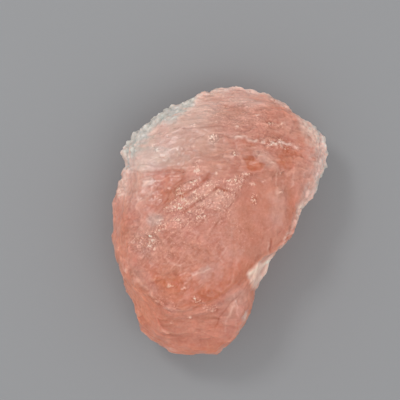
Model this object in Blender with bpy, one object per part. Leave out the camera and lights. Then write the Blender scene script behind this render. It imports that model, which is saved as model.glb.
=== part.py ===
"""A rough morganite crystal: one broken lump of pink beryl, lying on its flat back.

Run with: blender --background --python part.py

The lump is one solid. Its body is the room that a set of break planes leaves between them, inside
walls that follow the outline seen from above, with the edges between them a little rounded. On that
body lie the forms that can be seen from a step away: the curved ledge over the lower break, the
overhang beside the right break, the diagonal ribs, growth steps over the rounded end, scooped chips
and the lumpy rind on the upper left and right rims. The underside is a flat break that it rests on.

Frame: +Z up, +Y towards the rounded end, +X right, origin under the middle at the resting face.
Lengths in the tables are millimetres, angles are degrees counted from +X towards +Y.
"""

import bmesh
import bpy
import numpy as np
from mathutils import Vector, noise

MM = 0.001

# Driving dimensions
LENGTH = 88.0
WIDTH = 70.0
HEIGHT = 42.0

# The corners of the outline seen from above, counter-clockwise from the right end of the straight
# lower break, and the height at which the wall there stands out furthest.
OUTLINE = (
    (-1.0, -44.0, 19.0),
    (4.0, -41.2, 20.0),
    (9.0, -32.6, 22.0),
    (12.3, -21.8, 24.0),
    (16.4, -12.8, 25.0),
    (25.4, -1.0, 25.0),
    (30.6, 7.8, 24.0),
    (34.3, 15.4, 22.0),
    (35.2, 22.6, 21.0),
    (33.0, 28.8, 20.0),
    (28.6, 33.4, 19.0),
    (22.2, 38.2, 18.0),
    (15.0, 42.1, 18.0),
    (5.2, 44.0, 18.0),
    (-4.7, 43.2, 18.0),
    (-11.2, 39.6, 19.0),
    (-20.4, 34.6, 20.0),
    (-30.6, 25.8, 21.0),
    (-32.2, 15.2, 22.0),
    (-35.2, 7.0, 22.0),
    (-35.0, -6.5, 22.0),
    (-31.3, -21.6, 21.0),
    (-26.2, -34.6, 20.0),
    (-23.0, -41.0, 19.0),
    (-15.6, -44.0, 18.0),
)
WALL_LEAN_UP = 0.34  # how far a wall leans in for each unit it rises above its widest height
WALL_LEAN_DOWN = 0.30
WALL_LEAN_SPREAD = 0.14  # and how much that changes round the outline

# Break planes of the front: a point on the plane, the way it falls, and how steeply.
FRONT_BREAKS = {
    "crest": ((-6.0, 6.0, 41.9), 275.0, 5.0),
    "right break": ((8.0, 4.0, 41.0), 350.0, 15.0),
    "far right break": ((19.5, 4.0, 38.0), 2.0, 31.0),
    "top": ((0.0, 16.0, 41.4), 90.0, 15.0),
    "top end": ((2.0, 28.0, 38.2), 86.0, 37.0),
    "upper right": ((15.0, 22.0, 38.0), 40.0, 31.0),
    "upper left": ((-13.0, 19.0, 39.4), 132.0, 24.0),
    "upper left rim": ((-21.0, 26.0, 34.6), 130.0, 47.0),
    "left": ((-19.0, -2.0, 39.8), 183.0, 20.0),
    "left bevel": ((-29.0, -2.0, 35.8), 186.0, 50.0),
    "lower break": ((-10.0, -30.0, 36.2), 274.0, 40.0),
    "lower left break": ((-22.0, -22.0, 36.4), 214.0, 40.0),
    "lower right break": ((8.0, -20.0, 37.0), 330.0, 33.0),
}

# Break planes that undercut the walls towards the resting face: where each cuts that face, the way
# it faces, and how steeply it rises outwards.
BACK_BREAKS = {
    "back left": ((-23.0, 2.0), 172.0, 50.0),
    "back upper left": ((-15.0, 21.0), 128.0, 42.0),
    "back top": ((0.0, 31.0), 84.0, 48.0),
    "back upper right": ((20.0, 21.0), 38.0, 44.0),
    "back right": ((19.0, 2.0), 338.0, 52.0),
    "back lower right": ((3.0, -27.0), 318.0, 54.0),
    "back lower": ((-10.0, -34.0), 266.0, 50.0),
    "back lower left": ((-20.0, -21.0), 211.0, 52.0),
}
RESTING_CUT = 0.8  # the resting face is cut this far above the plane that first bounds it

EDGE_SHARPNESS = 64.0
HEART = np.array((0.0, 0.0, 24.0))  # the point that every break plane is measured from
SKIN_ROWS = 21  # each of the 20 first faces of the skin is split into this many rows
SKIN_TOWARDS_FRONT = 0.30  # shifts the skin's net so that its front has the smaller faces


def towards(azimuth, rise=0.0):
    """The direction at that azimuth, tipped up from level by rise."""
    a, e = np.radians(azimuth), np.radians(rise)
    return np.array((np.cos(a) * np.cos(e), np.sin(a) * np.cos(e), np.sin(e)))


def smooth_step(low, high, value):
    t = np.clip((value - low) / (high - low), 0.0, 1.0)
    return t * t * (3.0 - 2.0 * t)


def bump(offset, reach):
    """1 where offset is 0, falling smoothly to 0 at reach."""
    return smooth_step(0.0, 1.0, 1.0 - np.abs(offset) / reach)


def azimuth_of(places):
    return np.degrees(np.arctan2(places[:, 1], places[:, 0])) % 360.0


# The body. Each plane or wall is held as a nearness: a linear function of the way out of HEART that
# grows to 1 at the plane, so the body's surface is where the largest nearness is 1.


def break_planes():
    """One row for each break plane: its outward normal over its distance from HEART."""
    planes = [((0.0, 0.0, -RESTING_CUT), towards(0.0, -90.0))]
    for point, falls_towards, slope in FRONT_BREAKS.values():
        planes.append((point, towards(falls_towards, 90.0 - slope)))
    for (x, y), faces, slope in BACK_BREAKS.values():
        planes.append(((x, y, 0.0), towards(faces, slope - 90.0)))
    return np.array([normal / ((np.array(point) - HEART) @ normal) for point, normal in planes])


def walls(directions):
    """Two rows for each direction: the wall above and below its widest height."""
    corners = np.array(OUTLINE)
    corners = corners[np.argsort(azimuth_of(corners))]
    turns = azimuth_of(corners)
    azimuth = azimuth_of(directions)
    side = np.searchsorted(turns, azimuth) - 1
    start, end = corners[side], corners[(side + 1) % len(corners)]
    normal = np.stack((end[:, 1] - start[:, 1], start[:, 0] - end[:, 0]), axis=1)
    level = normal / (normal * start[:, :2]).sum(axis=1, keepdims=True)
    widest = np.interp(azimuth, turns, corners[:, 2], period=360.0) - HEART[2]
    sway = WALL_LEAN_SPREAD * np.sin(np.radians(5.0 * azimuth))
    half_width = WIDTH / 2
    found = []
    for lean in ((WALL_LEAN_UP + sway) / half_width, (sway - WALL_LEAN_DOWN) / half_width):
        row = np.column_stack((level, lean))
        found.append(row / (1.0 + lean * widest)[:, None])
    return found


def body_surface(directions):
    """Where rays from HEART leave the body, and the outward normals there."""
    planes = break_planes()
    rows = np.stack([np.broadcast_to(plane, directions.shape) for plane in planes], axis=1)
    rows = np.concatenate((rows, np.stack(walls(directions), axis=1)), axis=1)
    nearness = np.maximum((rows * directions[:, None, :]).sum(axis=2), 1e-6)
    largest = nearness.max(axis=1, keepdims=True)
    share = (nearness / largest) ** EDGE_SHARPNESS
    reach = 1.0 / (largest[:, 0] * share.sum(axis=1) ** (1.0 / EDGE_SHARPNESS))
    outward = (rows * (share / nearness)[:, :, None]).sum(axis=1)
    outward /= np.linalg.norm(outward, axis=1, keepdims=True)
    return HEART + directions * reach[:, None], outward


# The forms on the body. Each function gives how far the surface stands out, in mm, at every point.


def facing_up(outward):
    """1 on the front, 0 on the walls."""
    return smooth_step(0.25, 0.6, outward[:, 2])


def above_line(places, line):
    """How far each place lies above a line that runs from left to right."""
    points = np.array(line)
    return places[:, 1] - np.interp(places[:, 0], points[:, 0], points[:, 1])


LEDGE_LINE = (
    (-40.0, -10.0),
    (-32.0, -15.0),
    (-26.5, -20.5),
    (-21.0, -27.0),
    (-15.0, -29.8),
    (-7.0, -28.6),
    (2.0, -23.6),
    (9.0, -19.4),
    (17.0, -13.0),
    (30.0, -4.0),
)
LEDGE_DROP = 1.1


def lower_ledge(places, outward):
    """The lower break lies under a curved lip that runs from the left wall to the right one."""
    above = above_line(places, LEDGE_LINE)
    fade = 1.0 - smooth_step(2.0, 12.0, -above)
    return -LEDGE_DROP * (1.0 - smooth_step(-1.6, 0.0, above)) * fade * facing_up(outward)


OVERHANG_LINE = (
    (-2.0, 19.5),
    (6.0, 17.4),
    (11.0, 15.6),
    (15.0, 15.4),
    (20.0, 17.6),
    (26.0, 17.2),
    (38.0, 12.0),
)
OVERHANG_DROP = 1.1


def right_overhang(places, outward):
    """The top stands proud of the right break along a broken line."""
    under = -above_line(places, OVERHANG_LINE)
    ends = smooth_step(2.0, 9.0, places[:, 0]) * (1.0 - smooth_step(21.0, 30.0, places[:, 0]))
    fade = 1.0 - smooth_step(1.0, 22.0, under)
    return -OVERHANG_DROP * smooth_step(0.0, 1.6, under) * ends * fade * facing_up(outward)


# Each rib's middle, length and azimuth.
RIBS = (
    ((-11.9, 7.8), 14.0, 36.0),
    ((-5.3, 8.4), 14.0, 34.0),
    ((1.2, 6.4), 10.0, 30.0),
    ((5.4, 11.9), 6.0, 33.0),
)
RIB_HEIGHT = 0.8
RIB_HALF_WIDTH = 2.2


def diagonal_ribs(places, outward):
    """Frosted ribs side by side near the crest."""
    out = np.zeros(len(places))
    for middle, length, azimuth in RIBS:
        offset = places[:, :2] - middle
        along = np.abs(offset @ towards(azimuth)[:2]) / (length / 2)
        across = offset @ towards(azimuth + 90.0)[:2]
        out = np.maximum(out, bump(across, RIB_HALF_WIDTH) * (1.0 - smooth_step(0.6, 1.3, along)))
    return RIB_HEIGHT * out * facing_up(outward)


STEP_CENTRE = (3.0, -40.0)
STEP_RADII = (61.0, 66.0, 70.5, 75.0, 79.5)
STEP_DROPS = (0.8, 0.6, 0.9, 0.7, 0.9)
STEP_RISER = 1.4
STEP_TREAD = 7.0  # below a riser the surface takes this far to come back to the body


def beyond_arc(places, radius):
    """How far each place lies outside the arc of that radius about STEP_CENTRE."""
    return np.linalg.norm(places[:, :2] - STEP_CENTRE, axis=1) - radius


def growth_steps(places, outward):
    """The rounded end falls away in low curved steps, like the edges of stacked sheets."""
    out = np.zeros(len(places))
    for radius, drop in zip(STEP_RADII, STEP_DROPS):
        beyond = beyond_arc(places, radius)
        out -= drop * smooth_step(0.0, STEP_RISER, beyond) * (1.0 - beyond / STEP_TREAD).clip(0.0)
    return out * smooth_step(12.0, 20.0, places[:, 1]) * facing_up(outward)


# Chips knocked out of edges and walls: centre of the scoop, its radius and its depth.
CHIPS = (
    ((14.8, -15.4, 31.0), 5.5, 1.2),
    ((-34.6, 11.6, 22.0), 5.0, 1.9),
    ((9.6, -30.0, 26.0), 4.5, 0.9),
    ((-21.6, -41.6, 21.0), 6.5, 1.6),
    ((3.0, -42.2, 24.0), 4.5, 1.0),
    ((32.6, 2.0, 13.0), 10.0, 1.8),
    ((8.0, 41.0, 6.0), 12.0, 2.2),
    ((-30.0, -18.0, 7.0), 11.0, 2.2),
    ((-25.0, 28.0, 7.0), 10.0, 2.0),
    ((13.0, -22.0, 6.0), 9.0, 1.8),
    ((-8.0, -41.0, 7.0), 10.0, 1.6),
    ((32.0, 24.0, 7.0), 9.0, 1.8),
    ((-34.0, 2.0, 12.0), 9.0, 1.4),
)


def chips(places):
    out = np.zeros(len(places))
    for centre, radius, depth in CHIPS:
        away = np.linalg.norm(places - centre, axis=1) / radius
        out -= depth * np.maximum(1.0 - away**2, 0.0)
    return out


# Shallow shell-shaped hollows in the front: centre, reach along and across, azimuth, depth.
HOLLOWS = (
    ((-12.0, -36.5), 14.0, 6.0, 0.0, 0.9),
    ((14.0, 6.0), 7.0, 13.0, 0.0, 0.8),
    ((-21.0, -12.0), 9.0, 8.0, 30.0, 0.9),
    ((-17.0, 11.5), 11.0, 4.5, 12.0, 1.0),
    ((8.6, 19.0), 4.4, 2.8, 340.0, 1.4),
    ((4.0, -12.0), 8.0, 6.0, 60.0, 0.6),
    ((20.0, 28.0), 9.0, 5.0, 320.0, 0.9),
)


def hollows(places, outward):
    out = np.zeros(len(places))
    for centre, along, across, azimuth, depth in HOLLOWS:
        offset = places[:, :2] - centre
        u = offset @ towards(azimuth)[:2] / along
        v = offset @ towards(azimuth + 90.0)[:2] / across
        out -= depth * np.maximum(1.0 - u**2 - v**2, 0.0)
    return out * facing_up(outward)


def each_point(function, places, size):
    """function of every point, with size as the length that one cell of noise covers."""
    return np.array([function(Vector(place / size)) for place in places])


LUMP_SIZE = 4.8
LUMP_HEIGHT = 1.7


def rind(places, outward):
    """A rind of rounded lumps on the upper left and right rims and down the walls there."""
    azimuth = azimuth_of(places)
    upper_left = bump(azimuth - 132.0, 42.0)
    right = bump((azimuth + 180.0) % 360.0 - 202.0, 34.0)
    rim = 1.0 - smooth_step(0.70, 0.90, outward[:, 2])
    cover = np.clip(1.7 * np.maximum(upper_left, 0.8 * right), 0.0, 1.0) * rim
    nearest = each_point(lambda p: noise.voronoi(p)[0][0], places, LUMP_SIZE)
    return LUMP_HEIGHT * (0.45 - nearest) * cover


def roughness(places):
    """The uneven surface of a break, in three sizes."""
    wide = each_point(noise.noise, places + 11.0, 18.0)
    middle = each_point(noise.noise, places + 47.0, 8.0)
    fine = each_point(noise.noise, places + 83.0, 3.8)
    return 1.0 * wide + 0.6 * middle + 0.35 * fine


def relief(places, outward):
    return (
        lower_ledge(places, outward)
        + right_overhang(places, outward)
        + diagonal_ribs(places, outward)
        + growth_steps(places, outward)
        + hollows(places, outward)
        + chips(places)
        + rind(places, outward)
        + roughness(places)
    )


# The solid

LIP_REACH = 0.85  # points of the net this close to a ledge's lip are drawn onto it


def skin():
    """An even net of triangles on a ball, for the body's surface to be laid on."""
    net = bmesh.new()
    bmesh.ops.create_icosphere(net, subdivisions=1, radius=1.0)
    bmesh.ops.subdivide_edges(net, edges=net.edges, cuts=SKIN_ROWS - 1, use_grid_fill=True)
    return net


def skin_directions(net):
    """The way out of HEART for each point of the net, spread to the body's proportions."""
    spread = np.array([vertex.co for vertex in net.verts])
    spread /= np.linalg.norm(spread, axis=1, keepdims=True)
    spread += (0.0, 0.0, SKIN_TOWARDS_FRONT)
    spread /= np.linalg.norm(spread, axis=1, keepdims=True)
    spread *= (WIDTH / 2, LENGTH / 2, HEIGHT * 0.6)
    return spread / np.linalg.norm(spread, axis=1, keepdims=True)


def drawn_to_lips(directions):
    """Turns the directions that pass close to the lip of a ledge or step, so that they meet it."""
    places, outward = body_surface(directions)
    front = outward[:, 2] > 0.3
    for line, from_x in ((LEDGE_LINE, -WIDTH), (OVERHANG_LINE, 4.0)):
        above = above_line(places, line)
        near = (np.abs(above) < LIP_REACH) & front & (places[:, 0] > from_x)
        places[near, 1] -= above[near]
    for radius in STEP_RADII:
        beyond = beyond_arc(places, radius)
        near = (np.abs(beyond) < LIP_REACH) & front & (places[:, 1] > 15.0)
        spokes = places[near, :2] - STEP_CENTRE
        places[near, :2] -= spokes * (beyond[near] / np.linalg.norm(spokes, axis=1))[:, None]
    drawn = places - HEART
    return drawn / np.linalg.norm(drawn, axis=1, keepdims=True)


def fitted(places):
    """Cuts the underside flat at z = 0, and brings the box to the driving dimensions."""
    places[:, 2] = np.maximum(places[:, 2], 0.0)
    low, high = places.min(axis=0), places.max(axis=0)
    middle = (low + high) / 2 * (1.0, 1.0, 0.0)
    return (places - middle) * (WIDTH, LENGTH, HEIGHT) / (high - low)


def crystal_mesh():
    net = skin()
    places, outward = body_surface(drawn_to_lips(skin_directions(net)))
    places = fitted(places + outward * relief(places, outward)[:, None])
    for vertex, place in zip(net.verts, places):
        vertex.co = Vector(place * MM)
    bmesh.ops.recalc_face_normals(net, faces=net.faces)
    mesh = bpy.data.meshes.new("morganite_crystal")
    net.to_mesh(mesh)
    net.free()
    mesh.shade_smooth()
    mesh.set_sharp_from_angle(angle=np.radians(35.0))
    return mesh


def morganite():
    """Salmon-pink beryl, waxy where it broke."""
    material = bpy.data.materials.new("morganite")
    material.use_nodes = True
    shader = material.node_tree.nodes["Principled BSDF"]
    shader.inputs["Base Color"].default_value = (0.58, 0.25, 0.18, 1.0)
    shader.inputs["Roughness"].default_value = 0.42
    shader.inputs["IOR"].default_value = 1.58
    return material


def clear_scene():
    for thing in list(bpy.data.objects):
        bpy.data.objects.remove(thing)


def main():
    clear_scene()
    mesh = crystal_mesh()
    mesh.materials.append(morganite())
    crystal = bpy.data.objects.new("morganite_crystal", mesh)
    bpy.context.scene.collection.objects.link(crystal)


main()
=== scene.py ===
import bmesh
import bpy
import numpy as np
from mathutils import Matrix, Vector, noise


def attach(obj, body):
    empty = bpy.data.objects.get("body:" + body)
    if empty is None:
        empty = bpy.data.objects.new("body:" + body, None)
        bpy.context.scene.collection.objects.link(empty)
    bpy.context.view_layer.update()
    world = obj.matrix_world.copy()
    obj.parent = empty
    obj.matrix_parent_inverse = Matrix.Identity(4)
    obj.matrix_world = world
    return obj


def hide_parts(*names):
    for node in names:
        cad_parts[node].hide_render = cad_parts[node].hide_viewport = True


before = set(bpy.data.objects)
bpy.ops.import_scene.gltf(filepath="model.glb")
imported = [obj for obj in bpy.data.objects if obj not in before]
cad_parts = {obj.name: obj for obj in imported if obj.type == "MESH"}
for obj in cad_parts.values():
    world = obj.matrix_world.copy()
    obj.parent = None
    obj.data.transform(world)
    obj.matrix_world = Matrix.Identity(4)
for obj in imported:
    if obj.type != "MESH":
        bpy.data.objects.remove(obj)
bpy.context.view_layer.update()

# The lump's skin
#
# One broken piece of pink beryl, with no cut or polished face. Its skin is an even net laid over the
# solid, twice as fine on the side that shows, and is worked along its own normals, in millimetres.

MM = 0.001
NET_SIZE = 0.66 * MM
NET_SETTLING = 4
SHOWN_SETTLING = 3
FINER_FROM = 0.30  # the net is split where it faces up by more than this
FRONT_FROM, FRONT_TO = 0.12, 0.45  # between these the walls turn into the shown side

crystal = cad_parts["morganite_crystal"]
lump = bpy.data.objects.new("morganite", crystal.data.copy())
bpy.context.scene.collection.objects.link(lump)
even_net = lump.modifiers.new("even net", "REMESH")
even_net.mode = "VOXEL"
even_net.voxel_size = NET_SIZE
settling = lump.modifiers.new("settling", "SMOOTH")
settling.factor = 0.5
settling.iterations = NET_SETTLING
graph = bpy.context.evaluated_depsgraph_get()
skin = bpy.data.meshes.new_from_object(lump.evaluated_get(graph))
lump.modifiers.clear()
lump.data = skin

net = bmesh.new()
net.from_mesh(skin)
shown_edges = [e for e in net.edges if all(f.normal.z > FINER_FROM for f in e.link_faces)]
bmesh.ops.subdivide_edges(net, edges=shown_edges, cuts=1, use_grid_fill=True)
shown_points = [v for v in net.verts if v.normal.z > FINER_FROM]
every_way = {"use_axis_x": True, "use_axis_y": True, "use_axis_z": True}
for _ in range(SHOWN_SETTLING):
    bmesh.ops.smooth_vert(net, verts=shown_points, factor=0.5, **every_way)
net.to_mesh(skin)
net.free()


def numbers(rows, name):
    """The three numbers that each of the mesh's rows has under that name."""
    found = np.empty(len(rows) * 3, np.float32)
    rows.foreach_get(name, found)
    return found.reshape(-1, 3).astype(float)


places = numbers(skin.vertices, "co") / MM
outward = numbers(skin.vertex_normals, "vector")
x, y, z = places.T


def smooth_step(start, end, value):
    """0 up to start and 1 from end on, with a smooth rise between them."""
    t = np.clip((value - start) / (end - start), 0.0, 1.0)
    return t * t * (3.0 - 2.0 * t)


def bump(offset, reach):
    """1 where offset is 0, falling smoothly to 0 at reach."""
    return smooth_step(0.0, 1.0, 1.0 - np.abs(offset) / reach)


def grain(size, start=0.0, stretch=(1.0, 1.0, 1.0)):
    """Soft noise from -1 to 1 in cells of that size. Another start gives another pattern."""
    return np.array([noise.noise(p) for p in (places / size / stretch + start).tolist()])


def stone_cells(size, start=0.0):
    """How far every place is from the nearest and the second nearest of scattered points."""
    return np.array([noise.voronoi(p)[0][:2] for p in (places / size + start).tolist()]).T


front = smooth_step(FRONT_FROM, FRONT_TO, outward[:, 2])
relief = np.zeros(len(places))  # how far the skin is moved out
# The fine relief is also painted into the colour: lighter where it stands out and darker in its dips, as
# painted light and shade.
crisp = np.zeros(len(places))  # the fine part of that, which also takes the light
milk = np.zeros(len(places))  # 0 where the stone is clearest, 1 where it is white
deep = np.zeros(len(places))  # where the colour is deepest
frost = np.zeros(len(places))  # where the break is sugary
shade = np.zeros(len(places))  # which small faces are lighter or darker than their neighbours

# Broken faces
#
# Beryl breaks in shell-shaped scoops with thin ridges between them. They are strong on the walls
# and the back, and worn low on the shown side, where short steps run with the break instead.

SCOOPS = ((7.5, 0.75), (3.2, 0.28))  # size, depth
SCOOPS_WORN = 0.8  # the share of their depth that the shown side lacks
SWELLS = ((6.0, 0.30), (3.4, 0.16))  # size, height
UNEVENNESS = ((1.7, 0.045), (0.9, 0.035), (0.6, 0.030))  # size, height
CALM_X, CALM_Y, CALM_WIDTH, CALM_LENGTH = 11.0, 1.0, 6.0, 13.0  # the right break is the smoothest
CALMING = 0.75

scoops = sum(depth * (stone_cells(size, 3.0 * size)[0] - 0.4) for size, depth in SCOOPS)
relief += scoops * (1.0 - SCOOPS_WORN * front)
off_calm = ((x - CALM_X) / CALM_WIDTH) ** 2 + ((y - CALM_Y) / CALM_LENGTH) ** 2
calm = 1.0 - CALMING * np.exp(-off_calm)
for size, height in SWELLS:
    relief += height * grain(size, 5.0 * size) * calm
for size, height in UNEVENNESS:
    crisp += height * grain(size, 5.0 * size) * calm

STEP_LENGTH, STEP_WIDTH, STEP_HEIGHT = 2.2, 0.55, 0.14
STEP_FLOOR = 0.08  # lower than this the face stays flat
STEP_MILK = 0.03


def short_steps(middle_x, middle_y, start):
    """Thin raised slivers that run round a far middle, from 0 to about 0.5."""
    off_x, off_y = x - middle_x, y - middle_y
    across = np.hypot(off_x, off_y)
    along = np.arctan2(off_y, off_x) * across.mean()
    sliver = np.column_stack((along / STEP_LENGTH, across / STEP_WIDTH, z / STEP_WIDTH)) + start
    return np.clip([noise.noise(p) for p in sliver.tolist()], STEP_FLOOR, 1.0) - STEP_FLOOR


over = smooth_step(8.0, 16.0, y)  # the rounded end
below = smooth_step(-22.0, -28.0, y)  # the lower break
between = (1.0 - over) * (1.0 - below)
to_left = smooth_step(4.0, -10.0, x)
slivers = over * short_steps(-6.0, -55.0, 13.0) + between * to_left * short_steps(45.0, -70.0, 17.0)
crisp += STEP_HEIGHT * slivers * calm * front
milk += STEP_MILK * slivers * front

CHIP_LEANS = ((12.9, 78.2, 37.7), (26.7, 9.1, 50.2), (19.3, 41.6, 5.3))  # any large numbers do
CHIP_WAVE = 0.25  # how far a chip's edges wave, of its size


def chips(size, stretch, turn, start):
    """Small flat faces that meet at sharp edges: every place's height on its own, and its shade."""
    way = np.radians(turn)
    along, across = x * np.cos(way) + y * np.sin(way), y * np.cos(way) - x * np.sin(way)
    laid = np.column_stack((along / stretch, across, z)) / size + start
    laid[:, 1] += CHIP_WAVE * grain(1.6 * size, start)
    middles = np.array([tuple(noise.voronoi(p)[1][0]) for p in laid.tolist()])
    lean_along, lean_across, own_shade = np.sin(middles @ np.array(CHIP_LEANS).T).T
    off = laid - middles
    return (lean_along * off[:, 0] + lean_across * off[:, 1]) * size, own_shade


CHIPPED = (
    # where, its strength, size, stretch, azimuth
    (over, 1.0, 1.3, 2.8, -3.0),
    (over, 1.0, 3.4, 2.2, 4.0),
    (below, 0.6, 1.6, 3.2, 3.0),
    (below, 0.7, 4.4, 2.0, -8.0),
    (between * to_left, 0.9, 1.7, 1.7, 40.0),
    (between * to_left, 0.7, 4.2, 1.5, 35.0),
    (between * (1.0 - to_left), 0.4, 2.0, 2.0, 76.0),
    (between * (1.0 - to_left), 0.6, 5.5, 1.8, 70.0),
)
CHIP_SLOPE = 0.15
# This part is also painted into the colour as light and shade on the chips.
CHIP_EDGE = 0.25 * CHIP_SLOPE  # the part of it that takes the light
CHIP_SHADE = 0.5
for where, strength, size, stretch, turn in CHIPPED:
    height, own_shade = chips(size, stretch, turn, 23.0 + size)
    share = strength * where * front * calm
    relief += CHIP_SLOPE * share * height / np.sqrt(size)
    crisp += CHIP_EDGE * share * height / np.sqrt(size)
    shade += CHIP_SHADE * share * own_shade

WALL_CHIPS = (2.2, 5.0)
WALL_STRETCH, WALL_TURN = 1.5, 15.0
WALL_SLOPE = 0.9 * CHIP_SLOPE
WALL_SHADE = 0.35
WALL_MILK = 0.05
WALL_CLOUDS = ((6.0, 81.0, 0.16), (2.4, 83.0, 0.10))  # size, start, milk
walls = 1.0 - front
for size in WALL_CHIPS:
    height, own_shade = chips(size, WALL_STRETCH, WALL_TURN, 29.0 + size)
    relief += WALL_SLOPE * walls * height / np.sqrt(size)
    crisp += CHIP_EDGE * walls * height / np.sqrt(size)
    shade += WALL_SHADE * walls * own_shade
milk += walls * (WALL_MILK + sum(more * grain(size, start) for size, start, more in WALL_CLOUDS))

# Where marks lie
#
# Every mark below is laid down by its place seen from above. The places wander a little, so that no
# edge is drawn with a ruler.

WANDERING = ((3.0, 0.9), (1.1, 0.4))  # size, reach

mark_x = x + sum(reach * grain(size, 71.0 + size) for size, reach in WANDERING)
mark_y = y + sum(reach * grain(size, 77.0 + size) for size, reach in WANDERING)


def wandering(share):
    """The places of marks that wander only by that share of the usual."""
    return x + share * (mark_x - x), y + share * (mark_y - y)


def turned(middle_x, middle_y, turn):
    """Places along and across an azimuth, counted from a middle."""
    way = np.radians(turn)
    off_x, off_y = mark_x - middle_x, mark_y - middle_y
    return off_x * np.cos(way) + off_y * np.sin(way), off_y * np.cos(way) - off_x * np.sin(way)


def off_oval(middle_x, middle_y, length, width, turn):
    """How far out every place is of an oval: 0 at its middle, 1 on its edge."""
    along, across = turned(middle_x, middle_y, turn)
    return np.hypot(along / (length / 2), across / (width / 2))


def patch(middle_x, middle_y, length, width, turn, edge=1.0):
    """1 inside an oval with that middle, size and azimuth, falling to 0 over its edge's share."""
    out = off_oval(middle_x, middle_y, length, width, turn)
    return (1.0 - smooth_step(1.0 - edge / 2, 1.0 + edge / 2, out)) * front


def beside(start, end, at_x, at_y):
    """The share of the way from start to end that each place has come, and how far off it lies."""
    (from_x, from_y), (to_x, to_y) = start, end
    run_x, run_y = to_x - from_x, to_y - from_y
    share = ((at_x - from_x) * run_x + (at_y - from_y) * run_y) / (run_x**2 + run_y**2)
    share = np.clip(share, 0.0, 1.0)
    return share, np.hypot(at_x - from_x - share * run_x, at_y - from_y - share * run_y)


def streak(points, width, wander=1.0):
    """1 along a broken line through the points, falling to 0 at half its width."""
    near = wandering(wander)
    nearest = np.min([beside(*ends, *near)[1] for ends in zip(points, points[1:])], axis=0)
    return bump(nearest, width / 2) * front


def inside(corners, edge):
    """1 inside an outline of corners, falling to 0 over an edge that wide around it."""
    near_x, near_y = wandering(0.5)
    middle_x, middle_y = np.mean(corners, axis=0)
    depth = np.full(len(places), np.inf)
    for (from_x, from_y), (to_x, to_y) in zip(corners, corners[1:] + corners[:1]):
        run_x, run_y = to_x - from_x, to_y - from_y
        side = (run_x * (near_y - from_y) - run_y * (near_x - from_x)) / np.hypot(run_x, run_y)
        inner = np.sign(run_x * (middle_y - from_y) - run_y * (middle_x - from_x))
        depth = np.minimum(depth, side * inner)
    return smooth_step(-edge, 0.0, depth)


def above_line(points):
    """How far every place lies above a line that runs from left to right."""
    line = np.array(points)
    return mark_y - np.interp(mark_x, line[:, 0], line[:, 1])


# Growth steps over the rounded end
#
# The rounded end is built of thin sheets, whose edges show as low arcs with milky lines along them.
# All fine relief so far is worn softer towards the white rind on the upper left.

SHEET_CENTRE = (3.0, -80.0)
SHEET_THICKNESS = 1.75
SHEET_HEIGHT = 0.10
SHEET_MILK = 0.05
SHEET_BEND = 0.9
HAZY = (-17.0, 26.0, 40.0, 22.0, 28.0)  # x, y, length, width, azimuth
HAZY_WEAR = 0.55

beyond = np.hypot(x - SHEET_CENTRE[0], y - SHEET_CENTRE[1]) + SHEET_BEND * grain(8.0, 51.0)
sheet = (beyond / SHEET_THICKNESS) % 1.0
rounded_end = smooth_step(14.0, 21.0, y) * front
broken_up = np.clip(0.45 + 1.2 * grain(4.0, 53.0), 0.0, 1.0)
crisp += SHEET_HEIGHT * (sheet - smooth_step(0.8, 1.0, sheet) - 0.4) * rounded_end * broken_up
milk += SHEET_MILK * (bump(sheet - 0.78, 0.3) - 0.3) * rounded_end * broken_up
crisp *= 1.0 - HAZY_WEAR * patch(*HAZY)

# White rind
#
# Along the upper rim the stone is weathered to a crust of rounded lumps: thick and white on the left,
# with knobs on its outline, a thin pale line over the top, and thick again but pink on the right.

RIND = (
    # x, y, width, whiteness
    (-31.4, 9.0, 2.4, 0.30),
    (-31.6, 14.0, 3.0, 0.42),
    (-31.8, 20.5, 4.2, 0.56),
    (-29.6, 26.4, 6.4, 0.80),
    (-24.4, 30.0, 5.6, 0.80),
    (-22.0, 33.8, 6.4, 0.80),
    (-17.0, 36.0, 6.0, 0.74),
    (-11.0, 39.6, 4.6, 0.64),
    (-5.5, 42.8, 3.0, 0.54),
    (6.0, 44.0, 1.5, 0.62),
    (16.0, 41.2, 1.5, 0.58),
    (25.5, 35.9, 2.2, 0.50),
    (30.8, 30.0, 5.0, 0.63),
    (35.2, 24.0, 7.8, 0.67),
    (35.6, 17.5, 7.6, 0.65),
    (32.4, 10.5, 5.4, 0.65),
    (27.6, 3.6, 3.0, 0.58),
    (23.6, -1.8, 1.4, 0.30),
    (20.4, -7.2, 0.8, 0.24),
    (16.4, -12.4, 0.8, 0.26),
)
RIND_LUMPS = ((3.6, 0.80), (1.9, 0.75), (1.1, 0.40))  # size, height
LUMP_RELIEF, LUMP_EDGE = 0.9, 0.12  # the shares of that height
RIND_WAVES = ((4.0, 61.0, 0.35), (1.6, 63.0, 0.30))  # size, start, share of the rind's width
KNOBS = (
    # x, y, z
    (-15.8, 37.2, 22.0),
    (-12.2, 38.4, 21.0),
    (-24.0, 31.2, 24.0),
    (-20.0, 34.6, 23.0),
    (-32.4, 13.4, 20.0),
    (-30.9, 26.0, 21.0),
    (34.0, 26.6, 21.0),
    (25.8, 36.0, 19.0),
    (34.6, 22.0, 20.0),
    (34.4, 17.6, 20.0),
    (31.6, 30.6, 20.0),
)
KNOB_HEIGHT, KNOB_REACH, KNOB_MILK = 1.0, 1.7, 0.22
DENTS = (
    # x, y, reach, depth
    (28.6, 2.6, 9.5, 1.5),
    (35.0, 13.0, 5.5, 1.2),
    (-32.5, 18.5, 4.8, 1.8),
    (-31.6, 26.6, 5.0, 1.8),
    (0.0, 44.0, 10.0, 0.6),
)

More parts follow.
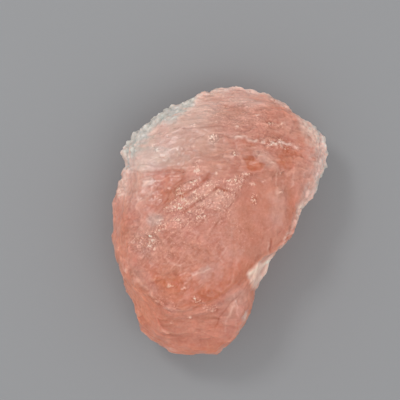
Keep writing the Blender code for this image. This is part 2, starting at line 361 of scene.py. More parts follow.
crust = np.zeros(len(places))
whiteness = np.zeros(len(places))
haze = np.zeros(len(places))  # the milkiness beside the rind
uneven_edge = 1.0 + sum(share * grain(size, start) for size, start, share in RIND_WAVES)
crust_foot = smooth_step(8.0, 14.0, z)
white_foot = smooth_step(2.0, 9.0, z)
for (*start, start_width, start_white), (*end, end_width, end_white) in zip(RIND, RIND[1:]):
    share, away = beside(start, end, x, y)
    width = (start_width + share * (end_width - start_width)) * uneven_edge
    own_white = start_white + share * (end_white - start_white)
    crust = np.maximum(crust, (1.0 - smooth_step(0.35, 1.35, away / width)) * crust_foot)
    pale = (1.0 - smooth_step(0.1, 1.15, away / width)) * white_foot
    whiteness = np.maximum(whiteness, pale * own_white)
    haze = np.maximum(haze, own_white * (1.0 - smooth_step(0.6, 3.2, away / (width + 1.5))) * front)

steep = 1.0 - 0.7 * smooth_step(0.25, 0.8, outward[:, 2])
lumpiness = crust * steep * (1.0 - 0.25 * smooth_step(0.0, 14.0, x))
# Painted shade on the rind's lumps: the creases between them are less milky and so darker, their tops
# milkier.
painted_lump_shade = crust * (0.03 + 0.09 * smooth_step(10.0, 20.0, x))
for size, height in RIND_LUMPS:
    nearest, second = stone_cells(size, 2.0 * size)
    dome = np.sqrt(np.clip(1.0 - (nearest / 0.75) ** 2, 0.0, 1.0)) - 0.6
    lumpy = lumpiness * height * dome
    relief += LUMP_RELIEF * lumpy
    crisp += LUMP_EDGE * lumpy
    milk += painted_lump_shade * (smooth_step(0.0, 0.3, second - nearest) - 0.6)
for knob in KNOBS:
    away = np.linalg.norm(places - knob, axis=1)
    relief += KNOB_HEIGHT * bump(away, KNOB_REACH)
    milk += KNOB_MILK * bump(away, 1.4 * KNOB_REACH)
for at_x, at_y, reach, depth in DENTS:
    relief -= depth * bump(np.hypot(x - at_x, y - at_y), reach)
milk += whiteness * (1.0 + 0.10 * grain(2.2, 65.0))

# Milky clouds and clear windows
#
# Fine bubbles and healed cracks make the stone milky towards the upper left, and clearer and deeper
# in colour to the lower right. The clouds end at the white rind, but for two that lie over its edge.

CLOUDS = (
    # x, y, length, width, azimuth, milk
    (-24.0, 25.0, 26.0, 18.0, 38.0, 0.22),
    (-21.8, 24.6, 7.0, 4.6, -20.0, 0.18),
    (-8.0, 36.0, 18.0, 9.0, 15.0, 0.18),
    (-6.0, 27.0, 44.0, 22.0, 10.0, 0.15),
    (6.0, 38.0, 26.0, 9.0, -20.0, 0.05),
    (-23.0, 12.6, 3.8, 2.6, 10.0, 0.34),
    (-24.0, 18.4, 10.0, 3.4, 4.0, 0.14),
    (-2.1, 25.8, 4.0, 3.0, 60.0, 0.12),
    (4.7, 21.5, 3.0, 2.4, 30.0, 0.10),
    (15.6, 19.4, 11.0, 4.0, -32.0, 0.15),
    (-20.6, 0.4, 5.0, 4.4, 0.0, 0.34),
    (-24.0, -6.0, 9.0, 12.0, 20.0, 0.11),
    (-4.6, -15.4, 3.0, 2.0, 24.0, 0.18),
    (-5.0, -16.6, 6.0, 3.2, 24.0, 0.11),
    (-24.0, -18.5, 16.0, 4.2, -42.0, 0.10),
    (19.3, 3.8, 5.0, 14.0, -10.0, 0.10),
    (5.6, -30.0, 8.0, 18.0, -18.0, 0.10),
    (-12.0, 6.0, 34.0, 16.0, 20.0, 0.05),
    (-14.0, -38.0, 20.0, 8.0, 0.0, 0.04),
    (-5.5, 32.0, 12.0, 18.0, 0.0, 0.05),
    (-27.6, 11.0, 12.0, 14.0, 5.0, 0.12),
    (24.6, 30.0, 8.0, 10.0, -45.0, 0.10),
    (8.0, 40.6, 18.0, 7.0, -12.0, 0.27),
    (-8.6, 36.0, 8.0, 10.0, 0.0, 0.16),
    (26.5, 15.5, 6.0, 15.0, -8.0, 0.12),
    (3.5, -26.0, 10.0, 12.0, -25.0, 0.07),
    (29.0, 12.0, 5.0, 18.0, -18.0, 0.10),
)
RIND_CLOUDS = (
    (-14.4, 36.0, 14.0, 7.0, 32.0, 0.15),
    (-21.6, 25.0, 9.0, 6.0, -15.0, 0.06),
)
WINDOWS = (
    # x, y, length, width, azimuth, deep
    (-14.6, 10.0, 9.0, 8.0, 30.0, 0.35),
    (-23.5, 14.0, 6.0, 2.6, 0.0, 0.25),
    (19.0, 26.4, 22.0, 8.0, -15.0, 0.18),
    (24.0, 19.5, 12.0, 6.0, -10.0, 0.22),
    (-16.2, -19.0, 15.0, 8.0, -10.0, 0.26),
    (-2.5, -22.6, 13.0, 5.0, 22.0, 0.48),
    (14.0, 33.5, 9.0, 6.0, -20.0, 0.24),
    (10.5, 23.4, 10.0, 4.0, -20.0, 0.18),
    (-9.0, -27.4, 8.0, 2.4, 4.0, 0.50),
    (7.0, -17.0, 11.0, 9.0, 40.0, 0.25),
    (26.0, 8.0, 7.0, 16.0, -20.0, 0.20),
    (-30.0, 0.0, 5.0, 14.0, 5.0, 0.20),
    (11.0, 2.0, 10.0, 24.0, -15.0, 0.15),
    (8.0, 27.6, 13.0, 7.0, -5.0, 0.15),
)
WINDOW_EDGE = 0.8
HAZE_MILK = 0.32
MILKIEST = 0.50
LOW_END_DEEP = 0.22

cloudy = HAZE_MILK * haze * smooth_step(8.0, -12.0, x)
for *oval, strength in CLOUDS:
    cloudy += strength * patch(*oval)
milk += np.minimum(cloudy, MILKIEST) * np.clip(1.0 - 1.15 * whiteness, 0.0, 1.0)
for *oval, strength in RIND_CLOUDS:
    milk += strength * patch(*oval)
deep += LOW_END_DEEP * smooth_step(-6.0, -24.0, y)
for *oval, strength in WINDOWS:
    deep += strength * patch(*oval, WINDOW_EDGE)

# Curved ledge over the lower break
#
# A lip runs from the left wall to the right one, crumbled along its edge and milky just above it.
# Towards the right it is worn round. Along its foot the colour is painted paler, as painted light
# that lifts the shade of the crease.

LEDGE = (
    (-40.0, -11.0),
    (-31.8, -14.8),
    (-27.3, -18.8),
    (-23.6, -21.8),
    (-20.2, -26.2),
    (-17.2, -28.4),
    (-9.6, -28.1),
    (-4.2, -25.4),
    (2.6, -21.4),
    (9.0, -19.2),
    (17.0, -13.0),
    (30.0, -4.0),
)
LEDGE_FOOT = (
    (-22.0, -27.2),
    (-17.0, -30.2),
    (-12.0, -30.2),
    (-6.0, -29.3),
    (0.0, -26.2),
    (5.0, -23.3),
    (10.0, -19.4),
    (14.0, -14.0),
)
LEDGE_WORN = 5.5  # how far from its foot it is worn
LEDGE_ROUNDS = 220
CRUMB_HEIGHT = 0.16
LIP_MILK, FOOT_PAINTED_LIGHT = 0.05, 0.08

over_ledge = above_line(LEDGE)
crumbling = np.clip(0.7 + 1.3 * grain(1.9, 91.0), 0.0, 1.6)
over_foot = y - np.interp(x, *np.array(LEDGE_FOOT).T)
worn_part = smooth_step(-24.0, -12.0, x) * front
worn = bump(over_foot - 0.4, LEDGE_WORN) * worn_part
ends = np.empty(len(skin.edges) * 2, np.int32)
skin.edges.foreach_get("vertices", ends)
ends = ends.reshape(-1, 2)
ends = ends[worn[ends].max(axis=1) > 0.0]
starts, stops = np.concatenate((ends, ends[:, ::-1])).T
neighbours = np.maximum(np.bincount(starts, minlength=len(places)), 1)
rounded = places.copy()
# Each round brings every worn place nearer to the middle of its neighbours.
for _ in range(LEDGE_ROUNDS):
    for axis in range(3):
        around = np.bincount(starts, rounded[stops, axis], len(places)) / neighbours
        rounded[:, axis] += 0.5 * np.sqrt(worn) * (around - rounded[:, axis])
relief += ((rounded - places) * outward).sum(axis=1)
crumbled = crumbling * front
crisp += CRUMB_HEIGHT * bump(over_ledge - 0.4, 0.9) * crumbled * smooth_step(-4.0, -14.0, x)
milk += LIP_MILK * bump(over_ledge - 0.6, 1.6) * crumbled * smooth_step(2.0, -12.0, x)
# Painted light along the ledge's foot, against the shade of the crease.
milk += FOOT_PAINTED_LIGHT * bump(over_foot - 0.2, 2.6) * worn_part

# Terrace, fissure and healed cracks
#
# The white upper left ends in a low step over salmon stone. Across the rounded end runs a fissure
# whose broken lip is white to the right, and healed cracks show as faint milky lines. Under the step
# the colour is painted less milky, as painted shade.

TERRACE = ((-29.0, 16.4), (-22.3, 16.2), (-16.5, 16.5), (-10.1, 16.8))
TERRACE_DROP, UNDER_TERRACE_SHADE = 0.50, 0.13
FISSURE = ((5.2, 27.3), (9.4, 26.0), (12.6, 25.4))
WHITE_FISSURE = ((13.4, 25.6), (15.6, 24.8), (18.7, 25.0), (21.4, 24.3), (25.6, 23.6))
FISSURE_WIDTH, WHITE_WIDTH = 1.8, 2.8
FLAKE_HEIGHT, FISSURE_DEPTH, FISSURE_MILK = 0.30, 0.04, 0.60
FAINT_CRACKS = (
    ((2.3, 28.1), (4.7, 26.9), (8.7, 26.5)),
    ((8.7, 23.9), (12.5, 21.5), (15.4, 19.1), (18.2, 18.3)),
    ((23.7, 16.4), (23.7, 10.8)),
    ((18.4, 16.4), (18.0, 12.4), (18.4, 8.0)),
    ((-26.4, 9.4), (-26.3, 3.8), (-25.0, 0.3), (-21.6, -0.6)),
    ((-24.2, 12.1), (-16.2, 14.0), (-9.6, 15.9)),
    ((-17.8, -10.9), (-16.2, -13.1), (-12.8, -14.5)),
    ((0.3, -7.2), (1.7, -8.4), (1.0, -10.4), (0.1, -11.8), (1.0, -13.4)),
    ((15.2, -6.8), (15.8, -10.2)),
    ((-10.6, -18.6), (-5.6, -16.6), (-2.0, -15.2)),
    ((-18.0, -28.6), (-9.6, -28.6), (-6.0, -26.6), (-3.6, -25.6)),
    ((7.0, -22.0), (2.6, -30.0), (1.6, -36.0)),
    ((4.6, -24.0), (6.4, -32.0)),
)
CRACK_WIDTH, CRACK_HEIGHT, CRACK_MILK = 1.1, 0.08, 0.14

white_lip = streak(WHITE_FISSURE, WHITE_WIDTH, 0.5) * (0.6 + 0.5 * bump(x - 19.4, 6.0))
fissure = np.maximum(0.5 * streak(FISSURE, FISSURE_WIDTH), white_lip)
flakes = np.clip(0.55 + 1.3 * grain(1.1, 95.0, (1.7, 1.0, 1.0)), 0.0, 1.0)
crisp += fissure * (FLAKE_HEIGHT * flakes - FISSURE_DEPTH)
milk += FISSURE_MILK * fissure * flakes
for crack in FAINT_CRACKS:
    line = streak(crack, CRACK_WIDTH)
    crisp += CRACK_HEIGHT * line
    milk += CRACK_MILK * line * np.clip(0.6 + grain(2.0, 97.0), 0.0, 1.0)
below_edge = -above_line(TERRACE)
terrace_run = smooth_step(-31.0, -27.0, x) * (1.0 - smooth_step(-13.0, -8.0, x)) * front
under = smooth_step(-0.4, 0.5, below_edge) * (1.0 - smooth_step(1.0, 6.0, below_edge)) * terrace_run
relief -= TERRACE_DROP * under
# Painted shade under the step: the stone below it is painted less milky and so darker.
milk -= UNDER_TERRACE_SHADE * under

# Flat facets and frosted ribs
#
# Between the scoops the stone parted along flat planes with straight edges. Some, as the diagonal
# ribs near the crest, are frosted by fine teeth that glitter, others are clear and deeper in colour.
# The ribs and the lower left bevel carry a painted sheen, a pocket a little painted shade.

FACETS = {
    # corners, then how high it stands, and its milk, deep, frost and painted sheen (below 0 painted
    # shade)
    "upper rib": (
        ((-13.8, 9.8), (-12.3, 10.9), (-7.6, 12.7), (-7.9, 11.2), (-11.2, 9.0), (-13.8, 8.6)),
        (0.30, 0.04, 0.0, 0.9, 0.06),
    ),
    "left rib": (
        ((-17.8, 3.0), (-15.5, 5.7), (-12.9, 7.6), (-10.9, 6.7), (-10.2, 5.3), (-14.2, 3.5)),
        (0.25, 0.03, 0.0, 1.0, 0.05),
    ),
    "long rib": (
        ((-10.9, 6.9), (-3.7, 12.7), (0.8, 12.7), (-0.7, 10.9), (-5.7, 7.2), (-10.2, 5.3)),
        (0.35, 0.07, 0.0, 0.75, 0.065),
    ),
    "broad rib": (
        (
            (-7.3, 5.3),
            (-3.7, 8.3),
            (-0.4, 9.8),
            (4.5, 8.3),
            (4.4, 7.3),
            (2.2, 4.0),
            (-0.7, 3.7),
            (-5.0, 4.4),
        ),
        (0.30, 0.08, 0.0, 0.65, 0.06),
    ),
    "block at the ribs' end": (
        ((2.2, 12.7), (4.5, 14.2), (7.0, 13.9), (7.8, 12.7), (5.8, 10.1), (4.5, 8.6), (2.2, 10.9)),
        (0.30, 0.06, 0.0, 0.9, 0.06),
    ),
    "stripes below the ribs": (
        ((-15.1, -0.1), (-9.0, 3.2), (-7.0, 3.0), (-4.3, 2.1), (-6.3, -0.6), (-13.5, -0.6)),
        (0.0, 0.03, 0.0, 0.8, 0.02),
    ),
    "terrace": (
        ((-29.9, 23.7), (-14.5, 23.0), (-9.6, 19.8), (-10.9, 17.1), (-22.7, 16.2), (-29.9, 14.5)),
        (0.10, 0.14, 0.0, 0.0, 0.0),
    ),
    "flat below the rounded end": (
        ((-1.4, 18.1), (5.8, 20.4), (8.5, 16.5), (5.2, 14.9), (-0.4, 15.8)),
        (-0.15, 0.0, 0.08, 0.0, 0.0),
    ),
    "orange pocket": (
        ((7.8, 20.4), (10.1, 20.4), (14.0, 18.1), (12.7, 16.5), (10.8, 16.2), (9.1, 17.1)),
        (-0.40, 0.0, 0.9, 0.0, -0.02),
    ),
    "small pocket": (
        ((18.6, 18.8), (20.6, 18.8), (20.9, 16.8), (19.3, 16.8)),
        (-0.20, 0.0, 0.6, 0.0, 0.0),
    ),
    "lower left bevel": (
        ((-31.2, -19.6), (-26.0, -22.2), (-23.3, -25.5), (-22.0, -32.0), (-26.0, -34.3), (-28.9, -27.1)),
        (0.0, 0.0, 0.15, 0.0, 0.05),
    ),
    "lower right bevel": (
        ((10.4, -20.9), (14.0, -18.6), (9.4, -31.0), (6.2, -30.4), (7.1, -23.5)),
        (0.25, 0.02, 0.0, 0.0, 0.0),
    ),
    "window left of the ribs": (
        ((-23.3, 6.7), (-19.4, 9.0), (-14.8, 9.3), (-18.1, 5.3), (-21.0, 3.4)),
        (-0.20, 0.0, 0.25, 0.0, 0.0),
    ),
    "right bevel": (
        ((20.9, 17.1), (27.8, 17.1), (26.5, 5.0), (23.2, -0.6), (20.9, 1.7)),
        (0.15, 0.0, 0.15, 0.0, 0.0),
    ),
    "window over the ledge's left": (
        ((-20.4, -18.3), (-13.5, -17.6), (-10.9, -22.2), (-14.5, -25.5), (-19.4, -23.5)),
        (-0.15, 0.0, 0.30, 0.0, 0.0),
    ),
    "window over the ledge's middle": (
        ((-5.3, -23.2), (2.2, -22.2), (0.9, -26.1), (-3.7, -27.1)),
        (-0.15, 0.0, 0.35, 0.0, 0.0),
    ),
    "window below the fissure": (
        ((2.9, 26.0), (9.4, 25.7), (11.7, 23.0), (8.8, 20.8), (4.2, 23.4)),
        (-0.20, 0.0, 0.35, 0.0, 0.0),
    ),
    "window below its white lip": (
        ((20.9, 23.0), (26.5, 22.7), (27.5, 19.8), (22.6, 18.1), (19.6, 20.8)),
        (-0.20, 0.0, 0.22, 0.0, 0.0),
    ),
}
FACET_EDGE, PAINTED_SHEEN_EDGE, FROST_EDGE = 0.8, 0.5, 1.4  # over what width each ends
FACET_STAND = 0.5  # how far the net follows a facet's own height
GROOVES = (
    # points, width, depth, deep (the groove's colour deepened as painted shade)
    (((-11.9, 7.9), (-4.4, 12.9), (-3.4, 15.0)), 2.2, 0.15, 0.34),
    (((-11.2, 3.0), (-8.4, 4.9), (-1.4, 10.2)), 2.0, 0.16, 0.36),
    (((-1.2, 10.8), (4.6, 8.8)), 1.6, 0.13, 0.32),
    (((-17.8, 33.9), (-9.6, 33.9)), 0.8, 0.15, 0.15),
    (((-14.5, 29.6), (-6.3, 29.8), (2.0, 30.4)), 0.8, 0.15, 0.20),
    (((16.4, -5.8), (16.4, -11.7)), 0.8, 0.20, 0.20),
    (((10.1, -18.3), (6.2, -23.5), (0.9, -29.4), (-1.4, -34.3)), 0.9, 0.15, 0.10),
)
GROOVE_CUT = 0.6  # the share of a groove's depth that is cut
GRAINY_SPOTS = (
    # x, y, length, width, azimuth, frost
    (-9.0, 2.0, 22.0, 9.0, 25.0, 0.55),
    (-2.0, 2.5, 16.0, 9.0, 10.0, 0.45),
    (4.0, -4.0, 18.0, 12.0, 20.0, 0.26),
    (-23.0, -6.4, 11.0, 9.0, 30.0, 0.74),
    (-17.0, -7.0, 24.0, 15.0, -20.0, 0.30),
    (-18.2, -2.0, 5.0, 3.4, -30.0, 0.80),
    (10.9, 6.9, 2.6, 4.4, -10.0, 0.80),
    (10.2, 11.4, 2.4, 2.2, 0.0, 0.80),
    (17.0, 30.8, 7.0, 1.6, 0.0, 1.00),
    (18.6, 24.4, 13.0, 4.6, -6.0, 0.75),
    (14.0, 19.6, 8.0, 4.0, -30.0, 0.20),
    (-17.0, -27.0, 10.0, 5.0, -30.0, 0.45),
    (-7.0, -25.2, 3.4, 1.8, -20.0, 0.90),
    (-2.6, -28.0, 5.0, 2.4, -10.0, 0.70),
    (-15.2, -20.6, 3.0, 1.4, 10.0, 0.80),
    (-7.2, 16.4, 3.4, 4.6, 20.0, 0.90),
    (8.4, 15.0, 4.0, 2.0, -10.0, 0.80),
    (6.0, 34.0, 24.0, 14.0, -20.0, 0.40),
    (-20.0, 23.4, 6.0, 4.0, -15.0, 0.50),
    (-2.2, 26.4, 3.4, 3.0, 40.0, 0.90),
    (4.9, 21.8, 2.4, 2.4, 30.0, 0.90),
)
GRAINY_EDGE = 1.2
TEETH_IN_FROST, TEETH_ELSEWHERE = 0.11, 0.03

for corners, (stand, paler, deeper, frosted, painted_sheen) in FACETS.values():
    flat = inside(corners, FACET_EDGE) * front
    relief += FACET_STAND * stand * flat
    milk += paler * flat
    deep += deeper * flat
    # Painted sheen: the facet's colour is lightened as if it caught the light, or darkened as painted
    # shade.
    crisp += painted_sheen * inside(corners, PAINTED_SHEEN_EDGE) * front
    frost = np.maximum(frost, frosted * inside(corners, FROST_EDGE) * front)
# Each groove is cut, painted darker through the fine relief, and its colour deepened: painted shade in
# the groove.
for points, width, depth, deeper in GROOVES:
    line = streak(points, width, 0.4)
    crisp -= GROOVE_CUT * depth * line
    deep += deeper * line
for *oval, strength in GRAINY_SPOTS:
    frost = np.maximum(frost, strength * patch(*oval, GRAINY_EDGE))
frost *= np.clip(0.78 + 0.65 * grain(2.4, 45.0), 0.35, 1.0)
teeth = grain(0.8, 41.0) + 0.8 * grain(0.5, 43.0)
crisp += (TEETH_IN_FROST * frost + TEETH_ELSEWHERE) * teeth

# Glints
#
# A few small faces stand a little proud, and their glints are painted: the colour is whitened and a
# painted highlight is laid over it.

GLINTS = (
    # x, y, size
    (-6.6, 19.1, 1.3),
    (10.4, 11.6, 1.8),
    (14.0, 12.5, 1.5),
    (19.3, 24.7, 1.7),
    (16.8, 24.4, 1.3),
    (-20.1, 22.6, 1.6),
    (-16.3, -20.7, 1.5),
    (-11.5, -21.5, 1.5),
    (-7.9, -25.1, 1.8),
    (-6.2, -25.5, 1.4),
    (-4.6, -27.8, 1.4),
    (-2.3, -28.6, 1.4),
    (-9.6, -31.0, 1.3),
    (-15.5, -32.7, 1.0),
    (-27.9, -6.8, 1.2),
    (-22.5, -5.0, 1.4),
    (-20.7, -6.4, 1.3),
    (-19.6, -2.9, 1.2),
    (-18.4, -0.4, 1.4),
    (-22.0, 30.3, 1.2),
    (-8.2, 30.5, 1.4),
    (16.0, 31.0, 1.3),
    (20.0, 31.2, 1.2),
    (21.6, 32.0, 1.0),
    (-16.6, 10.2, 1.4),
    (19.3, 9.1, 1.3),
    (19.0, 15.2, 1.3),
    (-4.0, 8.0, 1.0),
    (5.5, 30.0, 1.2),
    (12.0, 34.0, 1.2),
    (-7.2, 15.9, 1.9),
    (-0.8, 15.2, 1.5),
    (8.2, 15.0, 1.6),
    (-18.9, -0.2, 1.8),
    (-21.4, -6.4, 2.0),
    (-22.6, -8.2, 1.6),
    (-20.4, -9.0, 1.4),
    (26.6, 4.4, 1.8),
    (27.2, 3.2, 1.6),
    (18.2, 24.6, 1.6),
)
GLINT_STRETCH = 1.5
GLINT_HEIGHT, GLINT_PAINTED_WHITE = 0.36, 0.16

glints = np.zeros(len(places))
for at_x, at_y, size in GLINTS:
    away = np.hypot((x - at_x) / GLINT_STRETCH, y - at_y)
    glints = np.maximum(glints, (1.0 - smooth_step(0.2, 1.2, away / (size / 2))) * front)
glints *= np.clip(0.35 + 2.4 * grain(0.7, 47.0), 0.0, 1.2)
crisp += GLINT_HEIGHT * glints
# Painted glint: the colour is whitened.
milk += GLINT_PAINTED_WHITE * glints

# White chip and bruises
#
# Where the walls were knocked the stone is bruised white: a flake on the lower right, and small chips
# along the bottom edge. They fade out down the walls. The flake's upper edge carries a painted
# highlight, and the flake is painted lighter against the shade of its slope.

FLAKE = (
    (9.8, -17.4),
    (12.6, -14.4),
    (17.6, -11.6),
    (17.4, -15.6),
    (13.6, -21.6),
    (11.2, -21.2),
    (10.4, -19.4),
)
FLAKE_EDGE = 1.7
FLAKE_STAND, FLAKE_ROUGHNESS_AND_LIGHT, FLAKE_MILK = 0.3, 0.15, 0.48
PAINTED_HIGHLIGHT_LINE = ((9.8, -16.8), (12.8, -14.2), (17.0, -11.8))
HIGHLIGHT_WIDTH, HIGHLIGHT_HEIGHT, HIGHLIGHT_MILK = 2.6, 0.20, 0.15
BRUISES = (
    # x, y, length, width, azimuth, then milk and depth
    ((8.3, -30.6, 1.6, 4.0, -15.0), 0.45, 0.3),
    ((6.8, -35.8, 2.4, 2.0, 0.0), 0.35, 0.3),
    ((1.2, -42.0, 3.0, 1.8, 20.0), 0.35, 0.3),
    ((-15.8, -42.0, 5.0, 1.6, -10.0), 0.25, 0.2),
)

knocked = smooth_step(10.0, 24.0, z)
flaked = inside(FLAKE, FLAKE_EDGE) * knocked
crushed = np.clip(0.95 + 0.45 * grain(1.2, 99.0, (1.0, 1.6, 1.0)), 0.0, 1.3)
# A painted highlight along the flake's upper edge; the flake's crushed relief is also painted lighter,
# against the shade of its slope.
painted_highlight_edge = streak(PAINTED_HIGHLIGHT_LINE, HIGHLIGHT_WIDTH, 0.4)
relief += FLAKE_STAND * flaked
crisp += FLAKE_ROUGHNESS_AND_LIGHT * flaked * crushed + HIGHLIGHT_HEIGHT * painted_highlight_edge
milk += FLAKE_MILK * flaked * crushed + HIGHLIGHT_MILK * painted_highlight_edge
for oval, whitened, depth in BRUISES:
    out = off_oval(*oval)
    bruise = (1.0 - smooth_step(0.4, 1.3, out)) * knocked
    milk += whitened * bruise * np.clip(0.9 + 0.6 * grain(1.8, 99.0), 0.0, 1.2)
    relief -= depth * bruise * (1.0 - out.clip(0.0, 1.0) ** 2)

# Setting the skin
#
# The underside stays flat, and what the sections found is kept on the skin for the finish.

RESTING_BELOW = 0.06
FREE_FROM = 1.6  # above the table's level by this the skin is worked in full

worked = places + outward * ((relief + crisp) * smooth_step(0.0, FREE_FROM, z))[:, None]
worked[:, 2] = np.where(z < RESTING_BELOW, 0.0, np.maximum(worked[:, 2], 0.0))
skin.vertices.foreach_set("co", (worked * MM).astype(np.float32).ravel())
skin.update()
skin.shade_smooth()

milky = smooth_step(0.15, 0.5, milk)
lively = np.clip(0.25 + 0.60 * over + 0.45 * to_left + frost, 0.0, 1.0)
marks = {
    "milk": milk,
    "deep": deep,
    "frost": frost,
    "crisp": 0.5 + 1.5 * crisp,  # about a half, so that dips count as well
    # In the finish the rim is painted lighter, as a glow of light coming through, and is less clear.
    "thin": 1.0 - smooth_step(0.30, 0.92, outward[:, 2]),  # towards the rim light comes through
    "over": over,
    "shade": 0.5 + 0.5 * shade * (1.0 - 0.5 * milky),
    "lively": lively * (0.4 + 0.6 * calm) * (1.0 - 0.75 * milky),  # how streaked it is
}
for name, values in marks.items():
    kept = skin.attributes.new(name, "FLOAT", "POINT")
    kept.data.foreach_set("value", np.clip(values, 0.0, 1.0).astype(np.float32))

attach(lump, "root")
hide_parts("morganite_crystal")


# Morganite finish
#
# Salmon-pink beryl: light goes in, scatters and comes out warm. Clouds and crusts are milky white,
# windows are deeper in colour, and the sugary breaks glitter with a painted highlight. The rims carry
# a painted glow, and the fine relief painted light and shade.


class Wire:
    """A shader value. Sums of wires and numbers add their Math nodes to the finish they belong to."""

    def __init__(self, finish, socket):
        self.finish = finish
        self.socket = socket

    def maths(self, operation, first, second):
        return self.finish.node("ShaderNodeMath", {"operation": operation}, {0: first, 1: second})

    def __add__(self, other):
        return self.maths("ADD", self, other)

    def __radd__(self, other):
        return self.maths("ADD", other, self)

    def __sub__(self, other):
        return self.maths("SUBTRACT", self, other)

    def __rsub__(self, other):
        return self.maths("SUBTRACT", other, self)

    def __mul__(self, other):
        return self.maths("MULTIPLY", self, other)

    def __rmul__(self, other):
        return self.maths("MULTIPLY", other, self)


class Finish:
    """A material being mixed."""

    def __init__(self, name):
        self.material = bpy.data.materials.new(name)
        self.material.use_nodes = True
        self.tree = self.material.node_tree
        self.shader = self.tree.nodes["Principled BSDF"]
        self.output = self.tree.nodes["Material Output"]

    def node(self, kind, settings=None, sockets=None, output=0):
        """Adds a node with its settings, then its sockets' values or links, and gives an output."""
        made = self.tree.nodes.new(kind)
        for name, value in (settings or {}).items():
            if name == "stops":
                ramp = made.color_ramp.elements
                while len(ramp) < len(value):
                    ramp.new(0.5)
                for stop, (position, colour) in zip(ramp, value):
                    stop.position = position
                    stop.color = (*colour, 1.0)
            else:
                setattr(made, name, value)
        for name, value in (sockets or {}).items():
            self.feed(made.inputs[name], value)
        return Wire(self, made.outputs[output])

    def feed(self, socket, value):
        """Links a wire to a socket, or sets the socket to a number or a colour."""
        if isinstance(value, Wire):
            self.tree.links.new(value.socket, socket)
        elif isinstance(value, tuple) and socket.type == "RGBA":
            socket.default_value = (*value, 1.0)
        else:
            socket.default_value = value

    def mark(self, name):
        """What the sections above kept on the skin under that name."""
        return self.node("ShaderNodeAttribute", {"attribute_name": name}, output="Fac")

    def blend(self, share, first, second, kind):
        """Two colours, the second laid over the first by that share."""
        settings = {"data_type": "RGBA", "blend_type": kind}
        return self.node("ShaderNodeMix", settings, {0: share, 6: first, 7: second}, 2)

    def rgb(self, red, green, blue):
        """One colour from three values."""
        return self.node("ShaderNodeCombineColor", {}, {0: red, 1: green, 2: blue})

    def limited(self, value):
        """The value, kept between 0 and 1."""
        return self.node("ShaderNodeClamp", {}, {"Value": value})

    def speckle(self, at, per_metre, detail, distortion=0.0):
        """Soft noise from 0 to 1."""
        sockets = {"Scale": per_metre, "Detail": detail, "Distortion": distortion, "Vector": at}
        return self.node("ShaderNodeTexNoise", {}, sockets)


DEEPEST = (0.74, 0.225, 0.105)
SALMON = (0.712, 0.295, 0.203)
PALE_PINK = (0.685, 0.396, 0.315)
MILKY = (0.73, 0.495, 0.415)
CRUST_WHITE = (0.54, 0.50, 0.45)
BODY = ((0.0, DEEPEST), (0.20, SALMON), (0.50, PALE_PINK), (0.8, MILKY), (1.0, CRUST_WHITE))
CLEAR_TINT = (0.98, 0.86, 0.80)
ABSORPTION, ABSORPTION_DENSITY = (0.913, 0.36, 0.18), 15.0
BERYL_IOR = 1.58
SCATTERED, SCATTER_REACH, SCATTER_SIZE = 0.8, (1.0, 0.85, 0.80), 1.4 * MM
# The painted highlight is warm: these are its green and blue against its red.
SHINE_GREEN, SHINE_BLUE = 0.76, 0.62  # how warm the light is that the fine relief throws back
GLINT_CELLS_PER_METRE = 2500.0
STREAKS_PER_METRE = 420.0
STREAK_TURNS = (-0.05, 0.65)  # over the rounded end, and elsewhere, in radians
BUMP_HEIGHT = 0.35 * MM

stone = Finish("morganite")
here = stone.node("ShaderNodeTexCoord", output="Object")
# The fine relief as painted light and shade: above a half it lightens the colour, below a half it
# darkens it.
painted_relief_light = stone.mark("crisp") - 0.5
rim = stone.mark("thin")
frosting = stone.mark("frost")
deep_wire = stone.mark("deep")
milk_wire = stone.mark("milk")
over_wire = stone.mark("over")
shade_wire = stone.mark("shade") - 0.5
mottle = stone.speckle(here, 260.0, 3.0, 0.4) - 0.5
rosy = stone.speckle(here, 110.0, 3.0, 0.8) - 0.5
# Small cells that the painted sparkle is laid in.
glint_cells = stone.node("ShaderNodeTexVoronoi", {}, {"Scale": GLINT_CELLS_PER_METRE, "Vector": here}, 1)


def strokes(turn):
    """Fine streaks that run along an azimuth, given in radians."""
    laid = {"Vector": here, "Rotation": (0.0, 0.0, -turn), "Scale": (1.0, 3.4, 1.6)}
    return stone.speckle(stone.node("ShaderNodeMapping", {}, laid), STREAKS_PER_METRE, 4.0, 1.0) - 0.5


over_turn, other_turn = STREAK_TURNS
streaks = strokes(over_turn) * over_wire + strokes(other_turn) * (1.0 - over_wire)
streaks = streaks * stone.mark("lively")

# The milkiness runs through the colours of BODY, and noise breaks their borders up.
milkiness = milk_wire + mottle * 0.03 + streaks * 0.03 + shade_wire * 0.04 - deep_wire * 0.24 + 0.18
body = stone.node("ShaderNodeValToRGB", {"stops": BODY}, {0: milkiness})
# Painted light: towards the rims the colour is lightened as a painted glow of light coming through the
# stone. The mottle and the small faces' shades vary the tone.
tone_and_rim_glow = 1.0 + rim * 0.14 + mottle * 0.30 + shade_wire * 0.16
tint_and_rim_glow = stone.rgb(tone_and_rim_glow + rosy * 0.08, tone_and_rim_glow - rosy * 0.055, tone_and_rim_glow + rosy * 0.07)

# Painted highlights: the light that tiny faces would send straight back is painted over the body's
# colour as warm glitter and sparkle specks, and the fine relief is painted lighter where it stands out
# and darker in its dips.
sparkle_specks = stone.limited((glint_cells + frosting * 0.35 - 0.84) * 4.0)
flashes = stone.limited((streaks - 0.05) * 6.0)
glitter = sparkle_specks * (frosting * 0.58 + 0.03) + flashes * 0.08 + painted_relief_light * 0.75
glitter = glitter + (glint_cells - 0.5) * 0.5 * (frosting * 0.38 + 0.06) - 0.024 - frosting * 0.03
shine = stone.rgb(glitter, glitter * SHINE_GREEN, glitter * SHINE_BLUE)

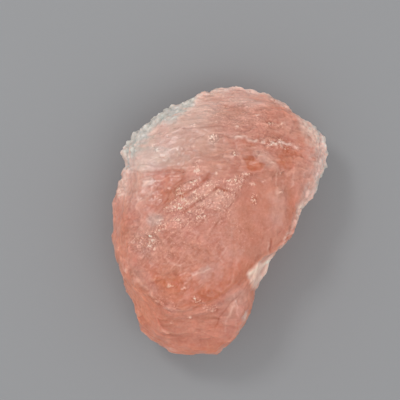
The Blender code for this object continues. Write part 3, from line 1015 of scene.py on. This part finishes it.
roughness = 0.33 - frosting * 0.08 + mottle * 0.2
sugar = stone.speckle(here, 1500.0, 3.0) * (frosting * 1.3 + 0.15) + streaks * 0.32
bumps = stone.node("ShaderNodeBump", {}, {"Strength": 1.0, "Distance": BUMP_HEIGHT, "Height": sugar})

# Where it is clear, more light goes through the skin, and the absorbing volume colours it.
milky_body = {
    "Base Color": stone.blend(1.0, stone.blend(1.0, body, tint_and_rim_glow, "MULTIPLY"), shine, "ADD"),
    "Roughness": roughness,
    "Normal": bumps,
    "IOR": BERYL_IOR,
    "Subsurface Weight": SCATTERED,
    "Subsurface Radius": SCATTER_REACH,
    "Subsurface Scale": SCATTER_SIZE,
}
clear_body = {
    "Base Color": CLEAR_TINT,
    "Roughness": roughness - 0.18,
    "Normal": bumps,
    "IOR": BERYL_IOR,
    "Transmission Weight": 1.0,
}

for name, value in milky_body.items():
    stone.feed(stone.shader.inputs[name], value)
milky_surface = Wire(stone, stone.shader.outputs[0])
clear_surface = stone.node("ShaderNodeBsdfPrincipled", {}, clear_body)
clearness = 0.30 + deep_wire * 0.10 - milk_wire * 0.20 - rim * 0.16
surface = stone.node("ShaderNodeMixShader", {}, {0: clearness, 1: milky_surface, 2: clear_surface})
absorbing = {"Color": ABSORPTION, "Density": ABSORPTION_DENSITY}
stone.feed(stone.output.inputs["Surface"], surface)
stone.feed(stone.output.inputs["Volume"], stone.node("ShaderNodeVolumeAbsorption", {}, absorbing))
skin.materials.clear()
skin.materials.append(stone.material)

# The table
#
# A plain pale grey top that the lump lies on. It isn't part of the object.

TABLE_SIDE = 3.0
TABLE_GREY = (0.252, 0.254, 0.258)
TABLE_ROUGHNESS = 0.7

bpy.ops.mesh.primitive_plane_add(size=TABLE_SIDE)
table = bpy.context.object
table.name = "table_top"
top = Finish("table_top")
top.feed(top.shader.inputs["Base Color"], TABLE_GREY)
top.feed(top.shader.inputs["Roughness"], TABLE_ROUGHNESS)
table.data.materials.append(top.material)

# Soft studio light
#
# An even room, a broad window on the upper left and a ceiling light over the camera.

ROOM_COLOUR, ROOM_STRENGTH = (0.97, 0.98, 1.0, 1.0), 0.90
LAMPS = (
    # name, place, side, power
    ("window", (-0.30, 0.34, 0.75), 0.18, 1.6),
    ("ceiling", (0.25, -0.25, 1.10), 0.60, 2.0),
)

room = bpy.data.worlds.new("room")
room.use_nodes = True
glow = room.node_tree.nodes["Background"]
glow.inputs["Color"].default_value = ROOM_COLOUR
glow.inputs["Strength"].default_value = ROOM_STRENGTH
bpy.context.scene.world = room
for name, at, side, power in LAMPS:
    lamp = bpy.data.lights.new(name, "AREA")
    lamp.size = side
    lamp.energy = power
    holder = bpy.data.objects.new(name, lamp)
    bpy.context.scene.collection.objects.link(holder)
    holder.location = at
    holder.rotation_mode = "QUATERNION"
    holder.rotation_quaternion = (-Vector(at)).to_track_quat("-Z", "Y")

# The camera
#
# It looks straight down from a long way off, and the lump lies low and right of its middle.

PICTURE = 400  # pixels on each side
PIXELS_PER_MM = 3.05  # at the lump's widest level
PIXELS_RIGHT, PIXELS_DOWN = 19.2, 20.3  # from the picture's middle to the lump's
WIDEST_LEVEL = 18.0 * MM
DISTANCE = 0.75
SENSOR = 36.0
NEAREST_SEEN = 0.01

camera_data = bpy.data.cameras.new("camera")
camera_data.sensor_width = SENSOR
camera_data.lens = SENSOR * DISTANCE / (PICTURE / PIXELS_PER_MM * MM)
camera_data.clip_start = NEAREST_SEEN
camera = bpy.data.objects.new("camera", camera_data)
bpy.context.scene.collection.objects.link(camera)
camera.location = (
    -PIXELS_RIGHT / PIXELS_PER_MM * MM,
    PIXELS_DOWN / PIXELS_PER_MM * MM,
    WIDEST_LEVEL + DISTANCE,
)
bpy.context.scene.camera = camera
bpy.context.scene.view_settings.view_transform = "Standard"
